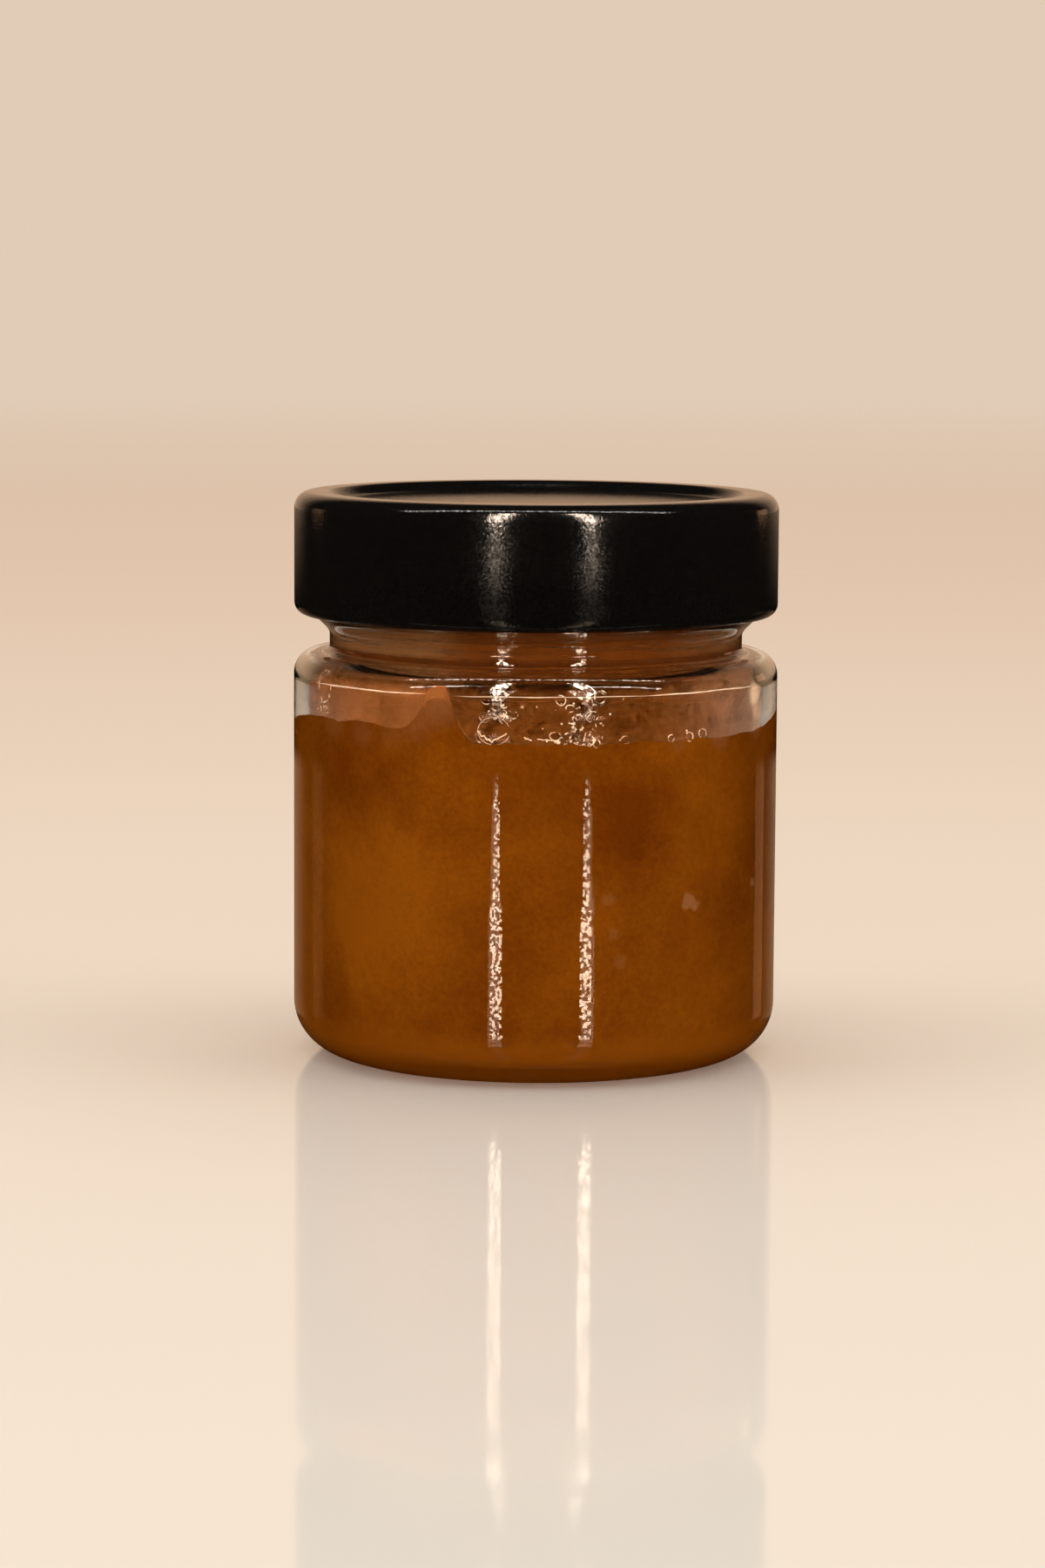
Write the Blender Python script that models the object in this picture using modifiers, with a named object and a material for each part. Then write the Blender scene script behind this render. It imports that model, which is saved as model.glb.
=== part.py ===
"""A jar of amber preserve: a squat, straight-sided clear glass jar, filled almost to its
shoulder and shut by a tall black twist-off lid of the jar's own width.

Metres, +Z up. The origin is the middle of the base, where the foot ring stands."""

import math

import bpy

MM = 0.001

# Driving dimensions
BODY_RADIUS = 36.25 * MM
TOTAL_HEIGHT = 84.2 * MM
GLASS_WALL = 2.25 * MM
GAP = 0.3 * MM
SEGMENTS = 72

# Glass, from the foot up
HEEL_RADIUS = 7.8 * MM
FOOT_WIDTH = 2.6 * MM
PUSH_UP = 2.0 * MM
PUSH_UP_MIDDLE = 2.4 * MM
FLOOR_THICKNESS = 3.6 * MM
FLOOR_CROWN = 0.8 * MM
INNER_HEEL_RADIUS = 4.4 * MM
SHOULDER_TOP = 60.5 * MM
SHOULDER_ROUNDING = 3.4 * MM
SHOULDER_THICKNESS = 1.8 * MM
INNER_SHOULDER_ROUNDING = 2.5 * MM
NECK_RADIUS = 30.9 * MM
NECK_WALL = 2.2 * MM
NECK_FOOT_RISE = 0.9 * MM
NECK_TOP = 63.0 * MM
FLARE_HEIGHT = 3.4 * MM
MOUTH_RADIUS = 33.2 * MM
MOUTH_WALL = 3.2 * MM

# Lid
LID_RADIUS = 36.2 * MM
LID_BOTTOM = 66.0 * MM
LID_WALL = 0.8 * MM
LID_RIM_ROUNDING = 2.4 * MM
LID_CURL_RADIUS = 1.8 * MM
LID_CURL_INNER_RADIUS = 0.7 * MM
LID_RECESS_DEPTH = 1.4 * MM
LID_RECESS_RADIUS = 29.3 * MM
LID_RECESS_SLOPE = 2.0 * MM
LID_PANEL_THICKNESS = 0.7 * MM
LID_INNER_ROUNDING = 1.6 * MM

# Preserve
FILL_LEVEL = 49.6 * MM
CLING_POWER = 14
# Where it climbs the glass: azimuth in degrees from the front towards +X, width, rise
CLIMBS = (
    (-60.0, 24.0, 2.0 * MM),
    (-25.0, 6.5, 7.2 * MM),
    (104.0, 22.0, 5.2 * MM),
    (168.0, 16.0, 2.2 * MM),
    (-138.0, 20.0, 1.4 * MM),
)
SWELL = 0.35 * MM
SWELL_LENGTH = 19.0 * MM
SWELL_DEPTH_SHARE = 0.8
SWELL_PHASE = (0.6, 0.4)

# Derived sizes
INNER_RADIUS = BODY_RADIUS - GLASS_WALL
MOUTH_TOP = TOTAL_HEIGHT - LID_RECESS_DEPTH - LID_PANEL_THICKNESS - GAP
SHARP_ANGLE = math.radians(50)
MERGE_DISTANCE = 1e-6


def arc(centre, radius, start, end, steps):
    """Points of an arc about centre in the (radius, height) plane, angles in degrees."""
    points = []
    for i in range(steps + 1):
        angle = math.radians(start + (end - start) * i / steps)
        points.append((centre[0] + radius * math.cos(angle), centre[1] + radius * math.sin(angle)))
    return points


def s_curve(start, end, steps):
    """Points of a curve that leaves start and meets end along the vertical."""
    points = []
    for i in range(steps + 1):
        share = i / steps
        blend = (1 - math.cos(math.pi * share)) / 2
        points.append((start[0] + (end[0] - start[0]) * blend, start[1] + (end[1] - start[1]) * share))
    return points


def crown_curve(start, end, steps):
    """Points of a curve that leaves start and meets end along the horizontal."""
    turned = s_curve((start[1], start[0]), (end[1], end[0]), steps)
    return [(radius, height) for height, radius in turned]


def glass_profile():
    """Up the inside of the jar from its floor, over the mouth and down the outside."""
    inner_shoulder = SHOULDER_TOP - SHOULDER_THICKNESS
    neck_bore = NECK_RADIUS - NECK_WALL
    mouth_bore = MOUTH_RADIUS - MOUTH_WALL
    rim = MOUTH_WALL / 2
    heel_centre = (BODY_RADIUS - HEEL_RADIUS, HEEL_RADIUS)
    inner_heel_centre = (INNER_RADIUS - INNER_HEEL_RADIUS, FLOOR_THICKNESS + INNER_HEEL_RADIUS)
    foot_inside = heel_centre[0] - FOOT_WIDTH
    points = [(0.0, FLOOR_THICKNESS + FLOOR_CROWN)]
    points += arc(inner_heel_centre, INNER_HEEL_RADIUS, -90, 0, 4)
    points += arc(
        (INNER_RADIUS - INNER_SHOULDER_ROUNDING, inner_shoulder - INNER_SHOULDER_ROUNDING),
        INNER_SHOULDER_ROUNDING,
        0,
        90,
        3,
    )
    points += crown_curve((neck_bore + 2 * NECK_FOOT_RISE, inner_shoulder), (neck_bore, SHOULDER_TOP), 2)
    points += s_curve((neck_bore, NECK_TOP), (mouth_bore, NECK_TOP + FLARE_HEIGHT), 2)
    points += arc((MOUTH_RADIUS - rim, MOUTH_TOP - rim), rim, 180, 0, 4)
    points += s_curve((MOUTH_RADIUS, NECK_TOP + FLARE_HEIGHT), (NECK_RADIUS, NECK_TOP), 4)
    points += arc(
        (NECK_RADIUS + NECK_FOOT_RISE, SHOULDER_TOP + NECK_FOOT_RISE), NECK_FOOT_RISE, 180, 270, 2
    )
    points += arc(
        (BODY_RADIUS - SHOULDER_ROUNDING, SHOULDER_TOP - SHOULDER_ROUNDING), SHOULDER_ROUNDING, 90, 0, 4
    )
    points += arc(heel_centre, HEEL_RADIUS, 0, -90, 5)
    points += [(foot_inside, 0.0)]
    points += crown_curve((foot_inside - PUSH_UP, PUSH_UP), (0.0, PUSH_UP_MIDDLE), 1)
    return points


def lid_profile():
    """From the middle of the sunk panel over the raised rim, down the skirt, round the
    rolled edge and back along the inside."""
    panel_top = TOTAL_HEIGHT - LID_RECESS_DEPTH
    inner_wall = LID_RADIUS - LID_WALL
    panel_under = panel_top - LID_PANEL_THICKNESS
    curl_outside = LID_RADIUS - LID_CURL_RADIUS
    curl_inside = curl_outside - LID_CURL_INNER_RADIUS
    curl_top = LID_BOTTOM + 2 * LID_CURL_INNER_RADIUS
    points = [(0.0, panel_top)]
    points += crown_curve(
        (LID_RECESS_RADIUS, panel_top), (LID_RECESS_RADIUS + LID_RECESS_SLOPE, TOTAL_HEIGHT), 4
    )
    points += arc(
        (LID_RADIUS - LID_RIM_ROUNDING, TOTAL_HEIGHT - LID_RIM_ROUNDING), LID_RIM_ROUNDING, 90, 0, 4
    )
    points += arc((curl_outside, LID_BOTTOM + LID_CURL_RADIUS), LID_CURL_RADIUS, 0, -90, 4)
    points += [(curl_inside, LID_BOTTOM + LID_CURL_INNER_RADIUS), (curl_inside, curl_top)]
    points += [(inner_wall, curl_top + (inner_wall - curl_inside))]
    points += arc(
        (inner_wall - LID_INNER_ROUNDING, panel_under - LID_INNER_ROUNDING), LID_INNER_ROUNDING, 0, 90, 2
    )
    points += [(0.0, panel_under)]
    return points


def preserve_profile():
    """From the middle of a level top to the glass, down the wall and along the floor."""
    radius = INNER_RADIUS - GAP
    heel = INNER_HEEL_RADIUS - GAP
    floor = FLOOR_THICKNESS + GAP
    points = [(radius * share, FILL_LEVEL) for share in (0.0, 0.25, 0.5, 0.7, 0.82, 0.9, 0.96, 1.0)]
    points += arc((radius - heel, floor + heel), heel, 0, -90, 4)
    points += [(0.0, floor + FLOOR_CROWN)]
    return points


def climb(azimuth):
    """How far above its level the preserve meets the glass, for an azimuth in degrees."""
    total = 0.0
    for middle, width, rise in CLIMBS:
        away = (azimuth - middle + 180) % 360 - 180
        total += rise * math.exp(-((away / width) ** 2))
    return total


def surface_height(x, y):
    """Height of the preserve's uneven top at a point of the jar."""
    share = math.hypot(x, y) / (INNER_RADIUS - GAP)
    azimuth = math.degrees(math.atan2(x, -y))
    turn = math.tau / SWELL_LENGTH
    across = math.sin(turn * x + SWELL_PHASE[0])
    along = math.cos(turn * SWELL_DEPTH_SHARE * y + SWELL_PHASE[1])
    swell = SWELL * across * along
    return FILL_LEVEL + swell + climb(azimuth) * share**CLING_POWER


def turned_mesh(name, profile):
    """The closed mesh that a profile of (radius, height) points sweeps round the Z axis."""
    outline = bpy.data.meshes.new(name + "_outline")
    edges = [(i, i + 1) for i in range(len(profile) - 1)]
    outline.from_pydata([(radius, 0.0, height) for radius, height in profile], edges, [])
    guide = bpy.data.objects.new(name + "_outline", outline)
    bpy.context.scene.collection.objects.link(guide)
    screw = guide.modifiers.new("Turn", "SCREW")
    screw.axis = "Z"
    screw.angle = math.tau
    screw.steps = SEGMENTS
    screw.render_steps = SEGMENTS
    screw.use_merge_vertices = True
    screw.merge_threshold = MERGE_DISTANCE
    graph = bpy.context.evaluated_depsgraph_get()
    mesh = bpy.data.meshes.new_from_object(guide.evaluated_get(graph))
    mesh.name = name
    bpy.data.objects.remove(guide)
    bpy.data.meshes.remove(outline)
    mesh.shade_smooth()
    mesh.set_sharp_from_angle(angle=SHARP_ANGLE)
    return mesh


def finish(name, color, roughness, transmission=0.0):
    """A Principled material with the piece's colour and gloss."""
    material = bpy.data.materials.new(name)
    material.use_nodes = True
    shader = material.node_tree.nodes["Principled BSDF"]
    shader.inputs["Base Color"].default_value = (*color, 1.0)
    shader.inputs["Roughness"].default_value = roughness
    shader.inputs["Metallic"].default_value = 0.0
    shader.inputs["Transmission Weight"].default_value = transmission
    return material


def place(name, mesh, material, collection):
    """The mesh as a named object of the jar."""
    mesh.materials.append(material)
    piece = bpy.data.objects.new(name, mesh)
    collection.objects.link(piece)
    return piece


def make_glass(collection):
    """The jar itself: push-up base, straight wall, shoulder, short neck and rounded mouth."""
    material = finish("clear glass", (0.95, 0.96, 0.95), 0.03, transmission=1.0)
    place("jar_glass", turned_mesh("jar_glass", glass_profile()), material, collection)


def make_preserve(collection):
    """The thick contents: a turned body whose level top is then raised where it clings."""
    mesh = turned_mesh("preserve", preserve_profile())
    for vertex in mesh.vertices:
        if vertex.co.z >= FILL_LEVEL - MERGE_DISTANCE:
            vertex.co.z = surface_height(vertex.co.x, vertex.co.y)
    material = finish("amber preserve", (0.19, 0.05, 0.002), 0.3)
    place("preserve", mesh, material, collection)


def make_lid(collection):
    """The deep pressed lid: sunk panel, raised rounded rim, plain skirt and rolled edge."""
    material = finish("black lid lacquer", (0.012, 0.011, 0.011), 0.35)
    place("lid", turned_mesh("lid", lid_profile()), material, collection)


def main():
    for leftover in list(bpy.data.objects):
        bpy.data.objects.remove(leftover)
    collection = bpy.data.collections.new("jar_of_preserve")
    bpy.context.scene.collection.children.link(collection)
    make_glass(collection)
    make_preserve(collection)
    make_lid(collection)


main()
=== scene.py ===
"""Looks of the jar of amber preserve: clear glass, cloudy preserve, satin black lid."""

import math
import random

import bmesh
import bpy
from mathutils import Matrix, Vector, noise


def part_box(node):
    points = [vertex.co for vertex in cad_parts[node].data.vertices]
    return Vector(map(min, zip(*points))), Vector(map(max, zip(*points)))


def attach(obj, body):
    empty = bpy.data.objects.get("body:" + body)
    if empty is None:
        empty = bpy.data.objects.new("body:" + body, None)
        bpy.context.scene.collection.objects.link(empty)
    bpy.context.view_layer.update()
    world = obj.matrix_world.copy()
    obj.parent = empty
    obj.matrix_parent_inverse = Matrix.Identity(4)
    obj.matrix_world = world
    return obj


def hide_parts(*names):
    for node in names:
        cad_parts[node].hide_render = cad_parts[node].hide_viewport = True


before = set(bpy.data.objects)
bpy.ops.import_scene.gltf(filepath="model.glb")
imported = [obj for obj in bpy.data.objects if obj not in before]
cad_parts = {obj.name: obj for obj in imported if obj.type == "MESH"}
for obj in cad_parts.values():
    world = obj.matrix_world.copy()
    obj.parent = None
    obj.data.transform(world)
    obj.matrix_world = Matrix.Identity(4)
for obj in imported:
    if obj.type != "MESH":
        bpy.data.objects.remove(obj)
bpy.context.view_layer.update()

MM = 0.001
SEED = 7

# Sizes from the frame
glass_low, glass_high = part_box("jar_glass")
lid_low, lid_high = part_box("lid")
BODY_RADIUS = glass_high.x
MOUTH_TOP = glass_high.z
LID_RADIUS = lid_high.x
LID_BOTTOM = lid_low.z
TOTAL_HEIGHT = lid_high.z

# Glass, as in the solids
GLASS_WALL = 2.25 * MM
HEEL_RADIUS = 7.8 * MM
FOOT_WIDTH = 2.6 * MM
PUSH_UP = 2.0 * MM
PUSH_UP_MIDDLE = 2.4 * MM
FLOOR_THICKNESS = 3.6 * MM
FLOOR_CROWN = 0.8 * MM
INNER_HEEL_RADIUS = 4.4 * MM
SHOULDER_TOP = 60.5 * MM
SHOULDER_ROUNDING = 3.4 * MM
SHOULDER_THICKNESS = 1.8 * MM
INNER_SHOULDER_ROUNDING = 2.5 * MM
NECK_RADIUS = 30.9 * MM
NECK_WALL = 2.2 * MM
NECK_FOOT_RISE = 0.9 * MM
NECK_TOP = 63.0 * MM
FLARE_HEIGHT = 3.4 * MM
MOUTH_RADIUS = 33.2 * MM
MOUTH_WALL = 3.2 * MM
INNER_RADIUS = BODY_RADIUS - GLASS_WALL
GLASS_SEGMENTS = 256

# Lid, as in the solids
LID_WALL = 0.8 * MM
LID_RIM_ROUNDING = 2.4 * MM
LID_CURL_RADIUS = 1.8 * MM
LID_CURL_INNER_RADIUS = 0.7 * MM
LID_RECESS_DEPTH = 1.4 * MM
LID_RECESS_RADIUS = 29.3 * MM
LID_RECESS_SLOPE = 2.0 * MM
LID_PANEL_THICKNESS = 0.7 * MM
LID_INNER_ROUNDING = 1.6 * MM

# Preserve
FILL_LEVEL = 49.6 * MM
EMBED = 0.03 * MM
SIDE_ROWS = 30
TOP_ROWS = 40
SHARP_EDGE = math.radians(40)

# The smear on the inside of the glass
FILM_GAP = 0.04 * MM
FILM_THICKNESS = 0.05 * MM
FILM_SEGMENTS = 192
FILM_FOOT_ROWS = 6
FILM_FOOT_DEPTH = 0.6 * MM
FILM_FOOT_HEIGHT = 1.2 * MM
FILM_OVERLAP = 2 * MM
NECK_COAT_START = 59.3 * MM

# Ridges and froth on the inside of the glass
THREAD_SIDES = 8
HIGHLIGHT_RIDGE_HEIGHT = 56.8 * MM
HIGHLIGHT_RIDGE_STEP = 1.2
HIGHLIGHT_RIDGE_TAPER = 8
HIGHLIGHT_RIDGE_THINNEST = 0.002 * MM
# Pale ridges where the wall turns into the shoulder, their pale colour a painted highlight line:
# first and last azimuth, first and last radius
HIGHLIGHT_RIDGES = (
    (-66.0, -27.0, 0.22 * MM, 0.12 * MM),
    (-20.0, 30.0, 0.07 * MM, 0.07 * MM),
    (26.0, 68.0, 0.08 * MM, 0.24 * MM),
    (112.0, 160.0, 0.10 * MM, 0.08 * MM),
    (175.0, 240.0, 0.06 * MM, 0.10 * MM),
)
# Pale patches on the glass: those at about 66 degrees either side of the front are painted light at
# the jar's sides, the others are dried preserve: azimuth, height, inner and outer reach, strength,
# colour
DRIED_PATCHES_AND_PAINTED_LIGHT = (
    (65.5, 55.4 * MM, 1.0 * MM, 2.8 * MM, 0.95, (0.92, 0.68, 0.47)),
    (66.5, 52.8 * MM, 0.5 * MM, 2.2 * MM, 0.85, (0.58, 0.37, 0.24)),
    (-67.0, 54.6 * MM, 0.4 * MM, 2.2 * MM, 0.8, (0.36, 0.13, 0.05)),
    (118.0, 55.4 * MM, 0.6 * MM, 2.4 * MM, 0.7, (0.42, 0.22, 0.11)),
    (-110.0, 54.8 * MM, 0.6 * MM, 2.0 * MM, 0.7, (0.40, 0.19, 0.09)),
)
BUBBLE_RADIUS = 0.24 * MM
BUBBLE_SIZE_SPREAD = 0.62
BUBBLE_CROWDING = 1.3
# A bubble above this many times BUBBLE_RADIUS has burst and left a ring
BURST_SIZE = 1.3
BURST_GROWTH = 1.6
DOME_GROWTH = 0.9
DOME_FLATNESS = 0.55
RING_TUBE = 0.07 * MM
RING_SIDES = 6
RING_STEPS = 22
# A large burst bubble: azimuth and height of its middle, reach, thickness
FROTH_RING = (-10.0, 51.9 * MM, 2.3 * MM, 0.03 * MM)
FROTH_RING_STEPS = 30
FROTH_RING_OPENING = 40
FROTH_RING_FLATNESS = 0.85
RIDGE_STEPS = 24
# Broken ridges of froth, pale as painted glints: first azimuth and height, last azimuth and height,
# thickness
FROTH_RIDGES = (
    (-13.8, 51.6 * MM, -10.6, 50.4 * MM, 0.13 * MM),
    (-10.6, 50.4 * MM, -7.0, 51.5 * MM, 0.13 * MM),
    (-2.8, 51.0 * MM, -1.0, 50.7 * MM, 0.10 * MM),
    (0.3, 50.9 * MM, 5.8, 50.5 * MM, 0.11 * MM),
    (9.4, 50.0 * MM, 12.6, 49.9 * MM, 0.09 * MM),
    (11.4, 50.6 * MM, 11.9, 51.8 * MM, 0.10 * MM),
)
# Edge where the preserve ends against the glass, drawn near black as painted shade: first and last
# azimuth, thickness
SHADED_EDGE = (-23.6, -7.0, 0.09 * MM)
SHADED_EDGE_STEPS = 80
# Froth on the glass: middle and spread in azimuth, lowest and highest height, count
BUBBLE_CROWDS = (
    (-9.0, 2.0, 53.6 * MM, 56.8 * MM, 34),
    (9.5, 4.2, 50.2 * MM, 56.8 * MM, 70),
    (14.0, 14.0, 50.0 * MM, 51.4 * MM, 26),
    (-60.0, 5.0, 53.0 * MM, 56.4 * MM, 10),
    (150.0, 30.0, 50.4 * MM, 53.2 * MM, 40),
)

# The uneven top of the preserve
CLING_POWER = 14
MENISCUS_RISE = 0.35 * MM
MENISCUS_REACH = 0.7 * MM
CLIMB_LIMIT = 57.8 * MM
# Unevenness of the line where it meets the glass: height, and about how many waves a radian
CONTACT_JITTER = ((0.5 * MM, 6), (0.2 * MM, 25))
# Where it climbs the glass: azimuth in degrees from the front towards +X, width, rise
CLIMBS = (
    (-60.0, 24.0, 2.0 * MM),
    (-38.0, 11.0, 0.9 * MM),
    (-24.5, 6.5, 3.9 * MM),
    (-23.6, 3.6, 6.5 * MM),
    (104.0, 22.0, 5.2 * MM),
    (168.0, 16.0, 2.2 * MM),
    (-138.0, 20.0, 1.4 * MM),
)
SWELL = 0.35 * MM
SWELL_LENGTH = 19.0 * MM
SWELL_DEPTH_SHARE = 0.8
SWELL_PHASE = (0.6, 0.4)
SWELL_EDGE_POWER = 4

# Painted light and shade against the glass: lighter and darker patches that copy how the preserve
# is lit, and lighter sides at about 80 degrees either side: azimuth, height, inner and outer reach,
# shade
PAINTED_LIGHT_DRIFTS = (
    (-48.0, 45 * MM, 4 * MM, 13 * MM, -0.15),
    (-40.0, 26 * MM, 5 * MM, 19 * MM, 0.65),
    (-20.0, 44 * MM, 2 * MM, 9 * MM, 0.30),
    (23.0, 38 * MM, 3 * MM, 12 * MM, -0.50),
    (44.0, 38 * MM, 4 * MM, 16 * MM, 0.42),
    (40.0, 14 * MM, 3 * MM, 12 * MM, 0.10),
    (-80.0, 36 * MM, 5 * MM, 18 * MM, 0.50),
    (-80.0, 15 * MM, 5 * MM, 18 * MM, 0.70),
    (82.0, 20 * MM, 5 * MM, 18 * MM, 0.40),
)
# Where the preserve thins out on the glass and looks hazy
SMEARS = (
    (-24.0, 56.5 * MM, 1.5 * MM, 6.0 * MM, 0.95),
    (-30.0, 52.5 * MM, 0.5 * MM, 4.0 * MM, 0.55),
    (-57.0, 51.6 * MM, 0.6 * MM, 3.6 * MM, 0.40),
    (-46.0, 50.4 * MM, 0.6 * MM, 3.2 * MM, 0.35),
    (-37.0, 50.4 * MM, 0.5 * MM, 2.8 * MM, 0.30),
    (36.0, 49.6 * MM, 0.4 * MM, 2.0 * MM, 0.50),
    (50.0, 49.8 * MM, 0.5 * MM, 2.8 * MM, 0.65),
    (66.0, 50.2 * MM, 0.5 * MM, 2.6 * MM, 0.60),
)
# Pale flecks near the glass: azimuth, height, inner and outer reach, strength
FLECKS = (
    (39.6, 26.4 * MM, 0.9 * MM, 1.5 * MM, 1.0),
    (41.4, 25.7 * MM, 0.6 * MM, 1.3 * MM, 1.0),
    (64.8, 27.6 * MM, 0.3 * MM, 0.8 * MM, 0.9),
    (17.5, 27.5 * MM, 0.5 * MM, 1.3 * MM, 0.35),
    (19.0, 22.5 * MM, 0.4 * MM, 1.2 * MM, 0.30),
    (21.0, 18.5 * MM, 0.5 * MM, 1.4 * MM, 0.30),
    (121.0, 31.0 * MM, 0.8 * MM, 1.5 * MM, 0.8),
    (163.0, 19.0 * MM, 0.5 * MM, 1.1 * MM, 0.7),
    (-104.0, 37.0 * MM, 0.7 * MM, 1.3 * MM, 0.6),
    (-150.0, 12.5 * MM, 0.9 * MM, 1.6 * MM, 0.7),
)

# Tones of the preserve, and where they hold
PRESERVE_DARK = (0.140, 0.0315, 0.0011)
PRESERVE_LIGHT = (0.268, 0.0780, 0.0030)
CLOUD_LENGTH = 22 * MM
CLOUD_SHADES = (0.12, 0.62)
# Mottling and pulp: wavelength, detail, change of shade
PULP = ((5 * MM, 3.0, 0.13), (0.9 * MM, 2.0, 0.12))
# Painted light: a lighter tone low on the preserve, at the heel, where little light reaches
HEEL_PAINTED_LIGHT = (0.33, 0.093, 0.0035)
HEEL_LIGHT_HEIGHTS = (3 * MM, 9 * MM)
FLECK_COLOR = (0.30, 0.125, 0.040)
FLECK_WOBBLE = 1.6 * MM
FLECK_WOBBLE_LENGTH = 1.3 * MM
SMEAR_COLOR = (0.235, 0.082, 0.023)
# It glitters in front, up to these distances from the middle and above these heights
WET_WIDTHS = (18 * MM, 25 * MM)
WET_HEIGHTS = (6 * MM, 8 * MM)
WET_SPOT_SIZE = 0.55 * MM
WET_SPOT_LEVELS = (0.50, 0.54)
# The front of the jar ends between these depths
FRONT_DEPTHS = (-22 * MM, -18 * MM)
PRESERVE_TOP_DARK = (0.11, 0.027, 0.002)
PRESERVE_TOP_LIGHT = (0.20, 0.066, 0.012)
SHADED_EDGE_DARK = (0.030, 0.006, 0.0004)
SHADED_EDGE_LIGHT = (0.055, 0.012, 0.001)

# Clear glass: ripples, and how strongly it reflects between its wet spots and in them
GLASS_TINT = (0.985, 0.985, 0.975)
RIPPLE_LENGTH = 6 * MM
RIPPLE_HEIGHT = 0.025 * MM
GLASS_DULL = (0.2, 0.2, 0.2)
GLASS_BRIGHT = (2.5, 2.5, 2.5)
# In front it glitters above these heights; elsewhere it is even
GLITTER_HEIGHTS = (54 * MM, 56 * MM)
GLITTER_ELSEWHERE = 0.35

# The smear's haze at the front: where it fades in at the left and the right, how dense it is. At
# the right its pale grey tone is partly painted reflection
HAZE_LEFT = (-17 * MM, -8 * MM)
HAZE_RIGHT = (14 * MM, 33 * MM)
HAZE_MIDDLE_COVER = 0.12
HAZE_LEFT_COVER = 0.40
HAZE_RIGHT_COVER = 0.31
HAZE_TONE = (0.36, 0.105, 0.016)
HAZE_LEFT_TONE = (0.38, 0.130, 0.036)
HAZE_RIGHT_REFLECTION_TONE = (0.34, 0.172, 0.092)
HAZE_GRAIN = 0.07
# Above these heights the haze thins to the first share, or at the right to the second
THINNED_HEIGHTS = (56.9 * MM, 57.7 * MM)
THINNED_SHARES = (0.25, 0.8)
STREAK_LENGTH = 4 * MM
STREAK_STRETCH = (1, 1, 0.6)
STREAK_DENSITY = (0.65, 1.3)
# The smear in the neck, in level bands
BAND_LENGTH = 1.3 * MM
BAND_STRETCH = (0.06, 0.06, 1)
NECK_COVER = (0.58, 0.86)
NECK_TONE = (0.26, 0.072, 0.010)
NECK_SIDE_TONE = (0.37, 0.165, 0.060)
NECK_FOOT_TONE = (0.165, 0.042, 0.006)
NECK_FOOT_HEIGHTS = (61.0 * MM, 62.0 * MM)
# The brown coat on the far side
COAT_DEPTHS = (-12 * MM, 2 * MM)
COAT_COVER = (0.95, 1.0)
COAT_DARK = (0.11, 0.025, 0.002)
COAT_LIGHT = (0.17, 0.046, 0.006)

# Froth and pale ridges on the glass: their pale colours are painted glints and painted highlights
FROTH_DARK = (0.40, 0.20, 0.09)
FROTH_PAINTED_GLINT = (0.95, 0.85, 0.70)
RIDGE_PAINTED_HIGHLIGHT = (0.95, 0.82, 0.66)

# Lid lacquer: its shine fades out towards the skirt's lower edge
LID_DARK = (0.0016, 0.0014, 0.0012)
LID_LIGHT = (0.0066, 0.0057, 0.0051)
LID_ROUGHNESS = (0.09, 0.12)
LID_SHINE_HEIGHTS = (LID_BOTTOM + 4 * MM, LID_BOTTOM + 12 * MM)
LID_SHINE = (0.06, 0.70)
LID_GRAIN = 0.5 * MM
LID_SPECKLE = (0.5, 1.4)
LID_BUMP_SIZE = 0.45 * MM
LID_BUMP_HEIGHT = 0.018 * MM
GOLD_DARK = (0.26, 0.12, 0.03)
GOLD_LIGHT = (0.36, 0.18, 0.05)

# Camera, fitted to the photograph's outline of the jar
CAMERA_PLACE = (-1.87 * MM, -663.5 * MM, 121.4 * MM)
CAMERA_PITCH = math.radians(6.98)
CAMERA_ROLL = 0.0058
CAMERA_LENS = 101.9

# Backdrop, room and floor
BACKDROP_COLOR = (0.75, 0.60, 0.47)
BACKDROP_THROUGH_GLASS = (0.45, 0.29, 0.17)
MIRRORED_BACKDROP = (0.66, 0.42, 0.26)
BACKDROP_EDGES = (0.72, 0.97)
ROOM_COLOR = (0.006, 0.005, 0.0045)
ROOM_THROUGH_GLASS = (0.075, 0.032, 0.012)
AMBIENT_COLOR = (0.40, 0.38, 0.35)
FLOOR_COLOR = (0.80, 0.75, 0.69)
FLOOR_RADIUS = 3.0
FLOOR_FADE = (0.5, 2.9)
FLOOR_MIRROR_COLOR = (0.42, 0.401, 0.360)
FLOOR_MIRROR_REACH = 0.37
FLOOR_MIRROR_FADE = 0.05
# Right beside the jar the floor mirrors less, by this share
FLOOR_MIRROR_START = BODY_RADIUS + 10 * MM
FLOOR_MIRROR_LOSS = 0.9
# Seen through the glass, the floor doesn't mirror under the jar or behind it
UNDER_JAR = (BODY_RADIUS - 8 * MM, BODY_RADIUS - 4 * MM)
BEHIND_JAR = (-10 * MM, 20 * MM)

# Lamps, each from a low end to a high end, as distance from the axis and height
LAMP_COLOR = (1.0, 0.94, 0.86)
STRIP_COLOR = (1.0, 0.80, 0.64)
STRIP_RADIANCE = 22.0
STRIP_AZIMUTHS = {"left": -18.4, "right": 24.75}
STRIP_LOW = (1.036, 0.05)
STRIP_HIGH = (0.58, 0.98)
# Sections of each strip lamp from its foot: first and last share of its length, width
STRIP_SECTIONS = ((0.0, 0.035, 0.025), (0.035, 0.075, 0.055), (0.075, 1.0, 0.100))
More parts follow.
